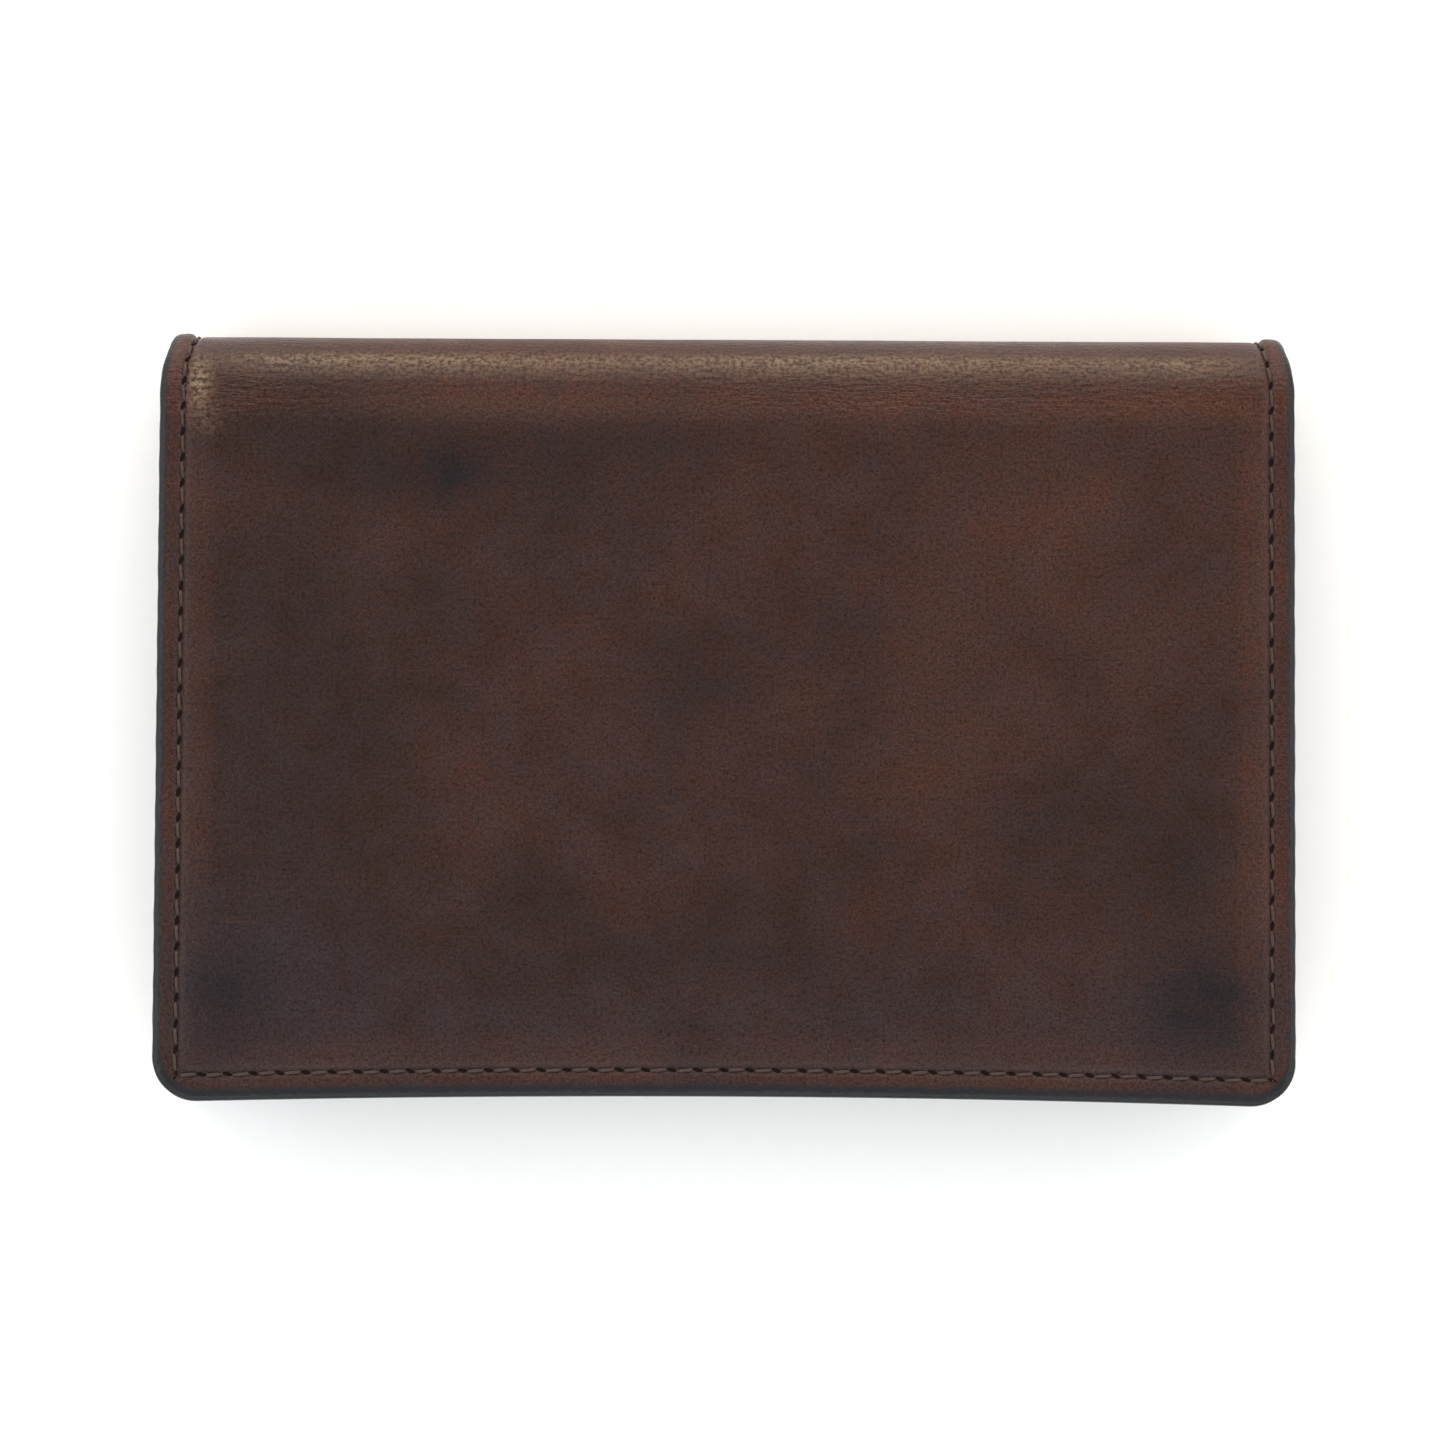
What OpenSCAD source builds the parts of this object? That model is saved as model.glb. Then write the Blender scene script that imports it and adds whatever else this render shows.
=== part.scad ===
// Folding business card case: a leather cover folded round a gusseted card pocket.
// It lies closed on its back. X runs along the fold, +Y points to the fold, Z is up.
// The origin is under the middle of the case, on the face it rests on. Millimetres.

/* [Case] */
// Width along the free edge
case_w = 110; // [104:1:134]
// Depth, from the free edge to the outside of the fold
case_d = 74; // [61:1:92]
// How much narrower the cover is at the fold, each side
taper = 0.5; // [0:0.1:1]
// Radius of the cover's two free corners
corner_r = 4.3; // [3.2:0.1:8]
// How far the free edge bows inwards at its middle
edge_bow = 0.7; // [0:0.1:1.2]
// How far the cover is drawn in at each end of the fold
waist = 0.7; // [0:0.1:1.2]

/* [Cover] */
// Thickness of the cover leather
cover_t = 1.0; // [0.8:0.1:1.4]
// Thickness of the stiffening boards
board_t = 0.5; // [0.3:0.1:0.8]
// Thickness of the cover's lining
lining_t = 0.6; // [0.4:0.1:0.9]
// From the cover's edge to a board
board_inset = 5.0; // [4.4:0.1:8]
// Width of the slope where the cover steps up over a board
board_slope = 1.2; // [0.6:0.1:1.5]
// From that slope to where the fold begins to curve
board_fold_gap = 0.2; // [0.1:0.1:2]

/* [Card pocket] */
// Height of the closed gusset, from the lining to the pocket's front
gusset_h = 5.4; // [4.5:0.1:9]
// Thickness of the gusset strip
gusset_t = 0.7; // [0.5:0.1:0.9]
// How far the gusset folds inwards past its sewn flange
gusset_fold = 3.4; // [2:0.1:4.2]
// Leather left inside the gusset's stitch line
gusset_margin = 1.0; // [0.8:0.1:1.4]
// Thickness of the pocket's front leather
pocket_t = 0.9; // [0.7:0.1:1.3]
// Thickness of the lining behind the pocket's front
pocket_lining_t = 0.5; // [0.3:0.1:0.8]
// How far the pocket's front stays inside the cover's edge
pocket_inset = 0.8; // [0.4:0.1:1.5]
// From the pocket's mouth to where the fold begins to curve
mouth_gap = 6.0; // [4:0.5:10]

/* [Slip pockets] */
// Thickness of the two slip pockets' leather
slip_t = 0.8; // [0.6:0.1:1.1]
// Relief behind a slip pocket, where the cards slide
slip_relief = 0.3; // [0.1:0.1:0.4]
// Width of a slip pocket's sewn border
slip_border = 4.0; // [3.6:0.1:6]
// From the card pocket's mouth down to the front slip pocket's mouth
slip_drop = 11; // [5:0.5:16]
// From the start of the fold down to the flap pocket's mouth
flap_pocket_drop = 15; // [8:0.5:22]
// Radius of the thumb notch in the front slip pocket
notch_r = 9; // [5:0.5:12]
// How far the thumb notch is cut down into the slip pocket
notch_depth = 6; // [3:0.5:8]
// Clear gap between the flap pocket and the front slip pocket
lay_gap = 0.6; // [0.5:0.1:1]

/* [Stitching] */
// Length of one stitch and the needle hole after it
stitch_pitch = 2.5; // [2:0.1:3.5]
// Visible length of the thread in one stitch
stitch_len = 1.8; // [1.4:0.1:1.8]
// Width of the thread
thread_w = 0.45; // [0.3:0.05:0.6]
// How deep the thread is drawn into the leather
groove_d = 0.3; // [0.15:0.05:0.35]
// From an edge to the stitch line
stitch_inset = 2.3; // [1.9:0.1:2.8]

/* [Hidden] */
// Thread: the width of its groove, how far it stands out, and its flatter side on the inside
groove_w = thread_w + 0.15;
thread_proud = 0.05;
inner_thread_t = 0.15;
// Between the last stitch on one layer and the first on the next
seam_gap = 0.5;
// Sharpest corner that a sheet or a groove is cut with
min_corner_r = 0.4;
// Steps in a corner, in the bow and in the waist, and the overrun of a cutting shape
corner_steps = 8;
bow_steps = 12;
waist_steps = 6;
cut = 1;

// Heights, from the face that the case rests on
crown = board_t;
lining_z = crown + cover_t;
gusset_z = lining_z + lining_t;
pocket_lining_z = gusset_z + gusset_h;
pocket_z = pocket_lining_z + pocket_lining_t;
slip_z = pocket_z + pocket_t;
slip_top_z = slip_z + slip_t;
flap_pocket_z = slip_top_z + lay_gap;
thick = flap_pocket_z + slip_t + gusset_z;

// The fold is a half round between the two leaves
fold_r = (thick - 2 * crown) / 2;
fold_z = thick / 2;
fold_y = case_d / 2 - fold_r;
free_y = -case_d / 2;
mouth_y = fold_y - mouth_gap;
slip_mouth_y = mouth_y - slip_drop;
flap_mouth_y = fold_y - flap_pocket_drop;

// The fold opens in three equal bends, and the cover is cut at the middle of each. A bend's hinge
// line lies along its cut, fold_r * (PI / 6) / sin(30) from the fold's centre line. That is just
// outside the cover, which so keeps its length and opens its cuts without meeting itself.
bends = 3;
bend_cut = 90 / bends;

// The gusset's flange is wide enough for the pocket's stitch line, which bows with the edge
gusset_flange = pocket_inset + stitch_inset + edge_bow + gusset_margin;
gusset_depth = gusset_flange + gusset_fold;

// A leaf's board
board_x = half_w(fold_y) - board_inset;
board_y0 = free_y + edge_bow + board_inset;
board_y1 = fold_y - board_fold_gap - board_slope;

// Half the cover's width at a place y: it tapers to the fold, which is drawn in at its ends
function half_w(y) =
    case_w / 2 - taper * (min(y, fold_y) - free_y) / case_d
    - waist * pow(max(0, y - fold_y) / fold_r, 2);

// The free edge, inset by d: its height at a place x, on a bow that ends at x = reach
function free_edge(x, d, reach) = free_y + d + edge_bow * (1 - pow(x / reach, 2));

// A sheet's right side from y = top downwards, with points round the waist if it gets that far
function side_points(d, top) =
    top <= fold_y ? [[half_w(top) - d, top]] :
    [
        for (i = [waist_steps : -1 : 0])
            let (y = fold_y + (top - fold_y) * i / waist_steps)
            [half_w(y) - d, y]
    ];

// A quarter circle at a free corner, from the side's end to the free edge's end
function corner_points(x, y, r) = [
    for (i = [0 : corner_steps])
        let (a = -90 * i / corner_steps)
        [x + r * cos(a), y + r * sin(a)]
];

function mirrored(points) = [for (i = [len(points) - 1 : -1 : 0]) [-points[i].x, points[i].y]];

// Outline of a sheet that follows the cover's three free sides, inset by d, up to y = top
function sheet_outline(d, top, r) =
    let (
        reach = half_w(free_y) - d - r,
        right = concat(side_points(d, top), corner_points(reach, free_y + d + r, r)),
        bow = [
            for (i = [1 : bow_steps - 1])
                let (x = reach * (1 - 2 * i / bow_steps))
                [x, free_edge(x, d, reach)]
        ]
    )
    concat(right, bow, mirrored(right));

// A flat sheet of that outline between two heights
module sheet(d, top, z, t) {
    translate([0, 0, z])
        linear_extrude(t)
            polygon(sheet_outline(d, top, max(corner_r - d, min_corner_r)));
}

// The band that a row of stitches lies in, round three sides of a sheet, between two heights
module stitch_band(d, top, z, t) {
    line = d + stitch_inset;
    translate([0, 0, z])
        linear_extrude(t)
            difference() {
                polygon(sheet_outline(line - groove_w / 2, top, min_corner_r));
                polygon(sheet_outline(line + groove_w / 2, top + cut, min_corner_r));
            }
}

// Part of a half-round shell about the fold's centre line, from the back (0) to the flap (180)
module fold_ring(r_out, t, from, to) {
    translate([0, fold_y, fold_z])
        rotate([0, 90, 0])
            rotate_extrude(angle = to - from, start = from, $fn = 96)
                translate([r_out - t, -case_w / 2])
                    square([t, case_w]);
}

// A layer of the fold, cut to the cover's outline
module fold_layer(r_out, t, from, to) {
    intersection() {
        fold_ring(r_out, t, from, to);
        sheet(0, case_d / 2 + cut, 0, thick);
    }
}

// The stitches' groove over part of the fold
module fold_groove(from, to) {
    intersection() {
        fold_ring(fold_r + cut, groove_d + cut, from, to);
        stitch_band(0, case_d / 2 + cut, 0, thick);
    }
}

// Turns a piece of the back leaf over, to make the same piece of the flap
module turned_over() {
    translate([0, 0, thick])
        mirror([0, 0, 1])
            children();
}

// One straight stitch along X, centred on the origin
module stitch(t) {
    translate([-stitch_len / 2, -thread_w / 2, 0])
        cube([stitch_len, thread_w, t]);
}

// Stitches in a straight row along X, centred on x = 0
module straight_stitches(half, y, z, t) {
    count = round(2 * half / stitch_pitch);
    for (i = [0 : count - 1])
        translate([-half + 2 * half * (i + 0.5) / count, y, z])
            stitch(t);
}

// Stitches along the bowed free edge, inset by d from it
module free_edge_stitches(d, z, t) {
    reach = half_w(free_y) - d;
    count = round(2 * reach / stitch_pitch);
    for (i = [0 : count - 1])
        let (x = -reach + 2 * reach * (i + 0.5) / count)
            translate([x, free_edge(x, d, reach), z])
                stitch(t);
}

// Stitches up both sides, inset by d from the edge
module side_stitches(d, bottom, top, z, t) {
    count = round((top - bottom) / stitch_pitch);
    for (side = [-1, 1], i = [0 : count - 1])
        let (y = bottom + (top - bottom) * (i + 0.5) / count)
            translate([side * (half_w(y) - d), y, z])
                rotate([0, 0, 90])
                    stitch(t);
}

// Stitches round three sides, up to y = top
module rim_stitches(d, top, z, t) {
    free_edge_stitches(d, z, t);
    side_stitches(d, free_y + d + edge_bow, top, z, t);
}

// Stitches round part of the fold: the outside thread in its groove, and the inside thread,
// whose straight stitches touch the round lining at their ends
module fold_stitches(from, to) {
    step = (to - from) / round((to - from) / 180 * PI * fold_r / stitch_pitch);
    inside_r = fold_r - cover_t - lining_t;
    inside_len = stitch_len * inside_r / fold_r;
    inside_y = sqrt(pow(inside_r, 2) - pow(inside_len / 2, 2)) - inner_thread_t;
    for (side = [-1, 1], a = [from + step / 2 : step : to])
        translate([side * (half_w(fold_y + fold_r * sin(a)) - stitch_inset), fold_y, fold_z])
            rotate([a - 90, 0, 0])
                translate([-thread_w / 2, 0, 0]) {
                    translate([0, fold_r - groove_d, -stitch_len / 2])
                        cube([thread_w, groove_d + thread_proud, stitch_len]);
                    translate([0, inside_y, -inside_len / 2])
                        cube([thread_w, inner_thread_t, inside_len]);
                }
}

// The step in a leaf's cover where it goes over the board
module board_step() {
    intersection() {
        rotate([90, 0, 0])
            linear_extrude(2 * case_d, center = true)
                polygon([
                    [-board_x, 0], [board_x, 0],
                    [board_x + board_slope, crown], [-board_x - board_slope, crown]
                ]);
        rotate([90, 0, 90])
            linear_extrude(2 * case_w, center = true)
                polygon([
                    [board_y0, 0], [board_y1, 0],
                    [board_y1 + board_slope, crown], [board_y0 - board_slope, crown]
                ]);
    }
}

// The back leaf's pieces, with their part of the bend. The flap's are the same, turned over.
module board_leaf() {
    translate([-board_x, board_y0, cover_t])
        cube([2 * board_x, board_y1 - board_y0, board_t]);
}

module cover_leaf() {
    difference() {
        union() {
            sheet(0, fold_y, crown, cover_t);
            board_step();
            fold_layer(fold_r, cover_t, 0, bend_cut);
        }
        board_leaf();
        stitch_band(0, fold_y, crown - cut, groove_d + cut);
        fold_groove(0, bend_cut);
    }
}

module lining_leaf() {
    sheet(0, fold_y, lining_z, lining_t);
    fold_layer(fold_r - cover_t, lining_t, 0, bend_cut);
}

module leaf_stitches() {
    rim_stitches(stitch_inset, fold_y, crown - thread_proud, groove_d + thread_proud);
    fold_stitches(0, bend_cut);
}

module cover_back() {
    color("#4a3530") cover_leaf();
}

module board_back() {
    color("#b9a98c") board_leaf();
}

module lining_back() {
    color("#5b4238") lining_leaf();
}

// Outside stitches, and their inside thread on the gusset's flange and then on the lining
module back_stitching() {
    color("#54392e") {
        leaf_stitches();
        rim_stitches(stitch_inset, mouth_y, gusset_z + gusset_t, inner_thread_t);
        side_stitches(stitch_inset, mouth_y + seam_gap, fold_y, gusset_z, inner_thread_t);
    }
}

// Cross-section of the gusset: the distance inwards from the edge, then the height
function gusset_section() =
    let (
        half = gusset_h / 2,
        leg = gusset_t * sqrt(1 + pow(gusset_fold / half, 2)),
        root = gusset_flange + gusset_fold * gusset_t / half - leg
    )
    [
        [-cut, 0], [gusset_flange, 0], [gusset_depth, half], [gusset_flange, gusset_h], [-cut, gusset_h],
        [-cut, gusset_h - gusset_t], [root, gusset_h - gusset_t], [gusset_depth - leg, half],
        [root, gusset_t], [-cut, gusset_t]
    ];

// A long run of the gusset, with the cover's edge on the Y axis and the fold towards -X
module gusset_run() {
    rotate([90, 0, 0])
        linear_extrude(2 * (case_w + case_d), center = true)
            mirror([1, 0, 0])
                polygon(gusset_section());
}

// One strip round three sides, mitred at the corners and trimmed flush with what it is sewn to
module gusset() {
    x = half_w(free_y);
    deep = 2 * gusset_depth;
    color("#46322c")
        translate([0, 0, gusset_z])
            intersection() {
                union() {
                    for (side = [0, 1])
                        mirror([side, 0, 0])
                            intersection() {
                                translate([x, 0, 0])
                                    gusset_run();
                                linear_extrude(gusset_h)
                                    polygon([
                                        [x + cut, free_y - cut], [x + cut, mouth_y],
                                        [x - deep, mouth_y], [x - deep, free_y + deep]
                                    ]);
                            }
                    intersection() {
                        translate([0, free_y, 0])
                            rotate([0, 0, -90])
                                gusset_run();
                        linear_extrude(gusset_h)
                            polygon([
                                [x + cut, free_y - cut], [x - deep, free_y + deep],
                                [deep - x, free_y + deep], [-x - cut, free_y - cut]
                            ]);
                    }
                }
                union() {
                    sheet(0, mouth_y, 0, gusset_h / 2);
                    sheet(pocket_inset, mouth_y, gusset_h / 2, gusset_h / 2);
                }
            }
}

// The fold's two strips, one next to each leaf
module cover_strip(from, to) {
    color("#4a3530")
        difference() {
            fold_layer(fold_r, cover_t, from, to);
            fold_groove(from, to);
        }
}

module lining_strip(from, to) {
    color("#5b4238")
        fold_layer(fold_r - cover_t, lining_t, from, to);
}

module strip_stitching(from, to) {
    color("#54392e")
        fold_stitches(from, to);
}

module cover_flap() {
    color("#4a3530")
        turned_over()
            cover_leaf();
}

module board_flap() {
    color("#b9a98c")
        turned_over()
            board_leaf();
}

module lining_flap() {
    color("#5b4238")
        turned_over()
            lining_leaf();
}

// Slip pocket on the inside of the flap, open towards the fold
module flap_pocket() {
    color("#4e372f")
        difference() {
            sheet(0, flap_mouth_y, flap_pocket_z, slip_t);
            sheet(slip_border, flap_mouth_y + cut, flap_pocket_z + slip_t - slip_relief, slip_relief + cut);
        }
}

// Outside stitches, and their inside thread on the flap's pocket and then on the lining
module flap_stitching() {
    pocket_thread_z = flap_pocket_z - inner_thread_t;
    color("#54392e") {
        turned_over()
            leaf_stitches();
        rim_stitches(stitch_inset, flap_mouth_y, pocket_thread_z, inner_thread_t);
        side_stitches(
            stitch_inset, flap_mouth_y + seam_gap, fold_y,
            pocket_thread_z + slip_t, inner_thread_t
        );
    }
}

module pocket_lining() {
    color("#6a5143")
        sheet(pocket_inset, mouth_y, pocket_lining_z, pocket_lining_t);
}

// The stitches show on the front only above the slip pocket, and along the mouth
module pocket_front() {
    groove_x = half_w(mouth_y) - pocket_inset - stitch_inset;
    color("#4a3530")
        difference() {
            sheet(pocket_inset, mouth_y, pocket_z, pocket_t);
            intersection() {
                stitch_band(pocket_inset, mouth_y + cut, slip_z - groove_d, groove_d + cut);
                translate([-case_w / 2, slip_mouth_y, 0])
                    cube([case_w, mouth_y - slip_mouth_y + cut, thick]);
            }
            translate([-groove_x, mouth_y - stitch_inset - groove_w / 2, slip_z - groove_d])
                cube([2 * groove_x, groove_w, groove_d + cut]);
        }
}

// Slip pocket on the front of the card pocket, open towards the fold, with a thumb notch
module slip_pocket() {
    color("#4e372f")
        difference() {
            sheet(pocket_inset, slip_mouth_y, slip_z, slip_t);
            sheet(pocket_inset + slip_border, slip_mouth_y + cut, slip_z - cut, slip_relief + cut);
            translate([0, slip_mouth_y + notch_r - notch_depth, slip_z - cut])
                cylinder(r = notch_r, h = slip_t + 2 * cut, $fn = 64);
            stitch_band(pocket_inset, slip_mouth_y, slip_top_z - groove_d, groove_d + cut);
        }
}

// Stitches through the slip pocket, then the pocket front, and their inside thread on the gusset
module pocket_stitching() {
    d = pocket_inset + stitch_inset;
    color("#54392e") {
        rim_stitches(d, slip_mouth_y, slip_top_z - groove_d, groove_d + thread_proud);
        side_stitches(d, slip_mouth_y + seam_gap, mouth_y, slip_z - groove_d, groove_d + thread_proud);
        rim_stitches(d, mouth_y, pocket_lining_z - gusset_t - inner_thread_t, inner_thread_t);
    }
}

// The row that closes the pocket's mouth edge, and its inside thread between the gusset's folds
module pocket_mouth_stitching() {
    front_half = half_w(mouth_y) - pocket_inset - 2 * stitch_inset;
    inside_half = half_w(mouth_y) - gusset_depth;
    y = mouth_y - stitch_inset;
    color("#54392e") {
        straight_stitches(front_half, y, slip_z - groove_d, groove_d + thread_proud);
        straight_stitches(inside_half, y, pocket_lining_z - inner_thread_t, inner_thread_t);
    }
}

cover_back();
board_back();
lining_back();
back_stitching();
gusset();
cover_strip(bend_cut, 90);  // cover_spine_lower
lining_strip(bend_cut, 90);  // lining_spine_lower
strip_stitching(bend_cut, 90);  // spine_lower_stitching
cover_strip(90, 180 - bend_cut);  // cover_spine_upper
lining_strip(90, 180 - bend_cut);  // lining_spine_upper
strip_stitching(90, 180 - bend_cut);  // spine_upper_stitching
cover_flap();
board_flap();
lining_flap();
flap_pocket();
flap_stitching();
pocket_lining();
pocket_front();
slip_pocket();
pocket_stitching();
pocket_mouth_stitching();
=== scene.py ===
import math

import bpy
import numpy as np
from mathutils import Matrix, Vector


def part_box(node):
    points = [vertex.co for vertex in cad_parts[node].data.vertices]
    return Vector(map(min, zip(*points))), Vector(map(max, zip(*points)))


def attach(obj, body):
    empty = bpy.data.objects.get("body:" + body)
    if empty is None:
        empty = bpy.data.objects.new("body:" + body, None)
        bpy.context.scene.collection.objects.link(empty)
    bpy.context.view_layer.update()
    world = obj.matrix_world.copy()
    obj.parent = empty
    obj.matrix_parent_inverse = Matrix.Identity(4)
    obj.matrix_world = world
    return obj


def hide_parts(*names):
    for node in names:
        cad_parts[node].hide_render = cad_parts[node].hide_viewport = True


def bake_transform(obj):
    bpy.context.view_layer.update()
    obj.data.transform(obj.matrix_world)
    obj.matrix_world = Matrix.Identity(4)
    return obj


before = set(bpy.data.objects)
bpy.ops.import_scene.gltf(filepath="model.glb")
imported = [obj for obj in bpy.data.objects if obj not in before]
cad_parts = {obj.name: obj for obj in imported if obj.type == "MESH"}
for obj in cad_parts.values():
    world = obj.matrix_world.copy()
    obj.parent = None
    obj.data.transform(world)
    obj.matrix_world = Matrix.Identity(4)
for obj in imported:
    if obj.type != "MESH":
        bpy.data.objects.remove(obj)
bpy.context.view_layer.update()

# Flap of the cover: smooth aniline calf, 1 mm thick, cut as one panel with the fold and the back,
# stretched over a board, so it steps up inside the sewn row and is gently crowned. Its skin is
# drawn here; the panel is laid out flat as x along the fold and v away from the fold's outside.
cover_low, cover_high = [corner * 1000 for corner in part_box("cover_flap")]
board_low, board_high = [corner * 1000 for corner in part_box("board_flap")]
half_free = cover_high.x
free_y = cover_low.y
crown = board_high.z - board_low.z
fold_z = cover_high.z / 2
fold_r = fold_z - crown
fold_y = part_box("cover_spine_upper")[1].y * 1000 - fold_r
case_d = fold_y + fold_r - free_y
arc = fold_r * math.pi / 2
bend_v = fold_r * math.radians(30)
taper = 0.5  # how much narrower the cover is at the fold, each side
waist = 0.7  # how far it is drawn in at each end of the fold
edge_bow = 0.7  # how far the free edge bows inwards
corner_r = 4.3
row_side = 2.3  # from the side edges to the sewn row
row_free = 2.6  # from the free edge to the sewn row
stitch_pitch = 2.5
edge_round = 0.8  # how far in the edge is rolled over
edge_drop = 0.55  # and how far down
board_end = arc + fold_y - board_high.y


def ease(t):
    """0 up to t = 0, 1 from t = 1, and smooth between."""
    t = np.clip(t, 0, 1)
    return t * t * (3 - 2 * t)


def half_w(v):
    """Half the cover's width."""
    v = np.abs(v)
    y = np.where(v < arc, fold_y + fold_r * np.cos(v / fold_r), fold_y + arc - v)
    drawn_in = np.clip((y - fold_y) / fold_r, 0, 1) ** 2
    return half_free - taper * (np.minimum(y, fold_y) - free_y) / case_d - waist * drawn_in


def free_v(x, inset=0.0, reach=half_free - corner_r):
    """Where the free edge lies, or a line inside it."""
    return arc + fold_y - free_y - inset - edge_bow * (1 - (x / reach) ** 2)


def wrap(x, v, h, side):
    """The panel wrapped round the case: h is the height over it, side 1 the flap's and -1 the back's."""
    turn = np.minimum(v, arc) / fold_r
    y = fold_y + (fold_r + h) * np.cos(turn) - np.maximum(v - arc, 0)
    z = fold_z + side * (fold_r + h) * np.sin(turn)
    return np.stack([x + 0 * y, y, z], 1)


near_bend = [0, 0.06, 0.14, 0.25, 0.4, 0.6]


def spaced(x, v, steps, start):
    """Points along a line: those at the start that are given, then even steps to its end."""
    run = np.concatenate([[0], np.cumsum(np.hypot(np.diff(x), np.diff(v)))])
    at = np.concatenate([start, np.linspace(start[-1], run[-1], steps + 1)[1:]])
    return np.interp(at, run, x), np.interp(at, run, v)


def rim(inset, top, sides, free):
    """A line round the three free sides at an inset: down the right, along the free edge and up the
    left, with so many steps on each side and along the free edge."""
    samples = 300
    r = max(corner_r - inset, 0)
    reach = half_free - inset - r
    turn = arc + fold_y - free_y - inset - r
    down = np.linspace(top, turn, samples)
    a = np.linspace(0, math.pi / 4, 10)
    side_x, side_v = spaced(
        np.concatenate([half_w(down) - inset, reach + r * np.cos(a)]),
        np.concatenate([down, turn + r * np.sin(a)]), sides, near_bend)
    along = np.linspace(reach, 0, samples)
    a = a + math.pi / 4
    edge_x, edge_v = spaced(
        np.concatenate([reach + r * np.cos(a), along]),
        np.concatenate([turn + r * np.sin(a), free_v(along, inset, reach)]), free // 2, [0])
    x = np.concatenate([side_x, edge_x[1:], -edge_x[-2::-1], -side_x[-2::-1]])
    v = np.concatenate([side_v, edge_v[1:], edge_v[-2::-1], side_v[-2::-1]])
    return x, v


def sheet(insets, top, step, mouth=None):
    """A sheet that follows the free sides: rims at the insets, and a grid inside the last of them.
    mouth, if given, is the top edge's place at each x. Returns points, faces and both borders."""
    sides = int((free_v(0) - top) / step)
    free = 2 * int((half_free - insets[-1]) / step)
    rows = sides + len(near_bend)
    rims = [rim(inset, top, sides, free) for inset in insets]
    x = [px for px, pv in rims]
    v = [pv for px, pv in rims]
    m = len(x[0])
    d = [np.full(m, inset) for inset in insets]
    base = (len(insets) - 1) * m
    share = (v[-1][:rows] - top) / (v[-1][rows - 1] - top)
    across = x[-1][rows - 1:rows + free] / x[-1][rows - 1]
    start = top + 0 * across if mouth is None else mouth(across * (half_w(top) - insets[-1]))
    end = v[-1][rows - 1:rows + free]
    cells = [(i, j) for i in range(rows - 1) for j in range(1, free)]
    inner = {cell: base + m + number for number, cell in enumerate(cells)}
    gv = np.array([start[j] + share[i] * (end[j] - start[j]) for i, j in cells])
    gx = np.array([across[j] for i, j in cells]) * (half_w(gv) - insets[-1])
    x = np.concatenate(x + [gx])
    v = np.concatenate(v + [gv])
    d = np.concatenate(d + [np.minimum(half_w(gv) - np.abs(gx), np.maximum(free_v(gx) - gv, 0))])

    def place(i, j):
        if i == rows - 1:
            return base + rows - 1 + j
        return inner[i, j] if 0 < j < free else base + (i if j == 0 else m - 1 - i)

    faces = [(k * m + n, k * m + n + 1, (k + 1) * m + n + 1, (k + 1) * m + n)
             for k in range(len(insets) - 1) for n in range(m - 1)]
    faces += [(place(i, j), place(i + 1, j), place(i + 1, j + 1), place(i, j + 1))
              for i in range(rows - 1) for j in range(free)]
    count = len(insets)
    mouth_line = [k * m for k in range(count)] + [inner[0, j] for j in range(1, free)]
    mouth_line += [k * m + m - 1 for k in range(count - 1, -1, -1)]
    return x, v, d, faces, range(m), mouth_line


def to_row(x, v):
    """Distance inside the sewn row, negative outside it, sharp and then rounded at the corners."""
    from_side = half_w(v) - np.abs(x) - row_side
    from_free = free_v(x) - np.abs(v) - row_free
    tight = 1.1
    both = np.exp(-tight * from_side.clip(-9, 60)) + np.exp(-tight * from_free.clip(-9, 60))
    return np.minimum(from_side, from_free), -np.log(both) / tight


side_end = float(free_v(half_free - row_side) - row_free)
side_count = round((side_end - bend_v) / stitch_pitch)
side_pitch = (side_end - bend_v) / side_count
free_half = float(half_w(side_end)) - row_side
free_count = round(2 * free_half / stitch_pitch)
free_pitch = 2 * free_half / free_count
spine_count = 3
spine_pitch = 2 * bend_v / spine_count


def from_hole(x, v):
    """Distance along the row to the nearest needle hole."""
    on_side = (half_w(v) - np.abs(x) - row_side) < (free_v(x) - np.abs(v) - row_free)
    pitch = np.where(np.abs(v) < bend_v, spine_pitch, np.where(on_side, side_pitch, free_pitch))
    run = np.where(on_side, np.abs(v) - bend_v, x + free_half)
    at = np.where(np.abs(v) < bend_v, v + bend_v, run) / pitch
    return np.abs(at - np.round(at)) * pitch


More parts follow.
